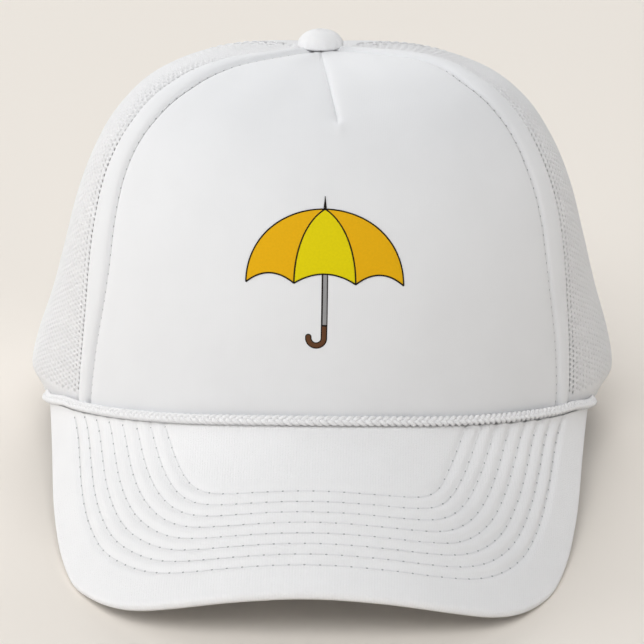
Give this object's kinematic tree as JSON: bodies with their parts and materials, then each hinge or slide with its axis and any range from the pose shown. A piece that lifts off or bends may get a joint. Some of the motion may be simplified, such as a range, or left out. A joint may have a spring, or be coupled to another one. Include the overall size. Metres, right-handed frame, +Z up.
{
  "type": "trucker cap",
  "caption": "White cap with a foam front panel, net back, curved stitched brim, braided rope along the brim seam, cloth button and a strapped half-moon opening behind.",
  "frame": {"origin": "on the ground under the middle of the cap's box", "axes": "+Z up, -Y the way the wearer looks, +X to the right of someone who faces the front from outside"},
  "size_m": [0.1958, 0.2568, 0.1428],
  "materials": {
    "foam_cloth": "matte",
    "net_cloth": "matte",
    "brim_cloth": "matte",
    "rope_cord": "matte",
    "band_cloth": "matte",
    "strap_plastic": "satin"
  },
  "bodies": {
    "root": {"front_panel": "foam_cloth", "side_panel_right": "net_cloth", "side_panel_left": "net_cloth", "back_panel_right": "net_cloth", "back_panel_left": "net_cloth", "brim": "brim_cloth", "rope_trim": "rope_cord", "top_button": "foam_cloth", "sweatband": "band_cloth", "rear_strap": "strap_plastic", "arch_binding": "band_cloth"}
  },
  "joints": []
}
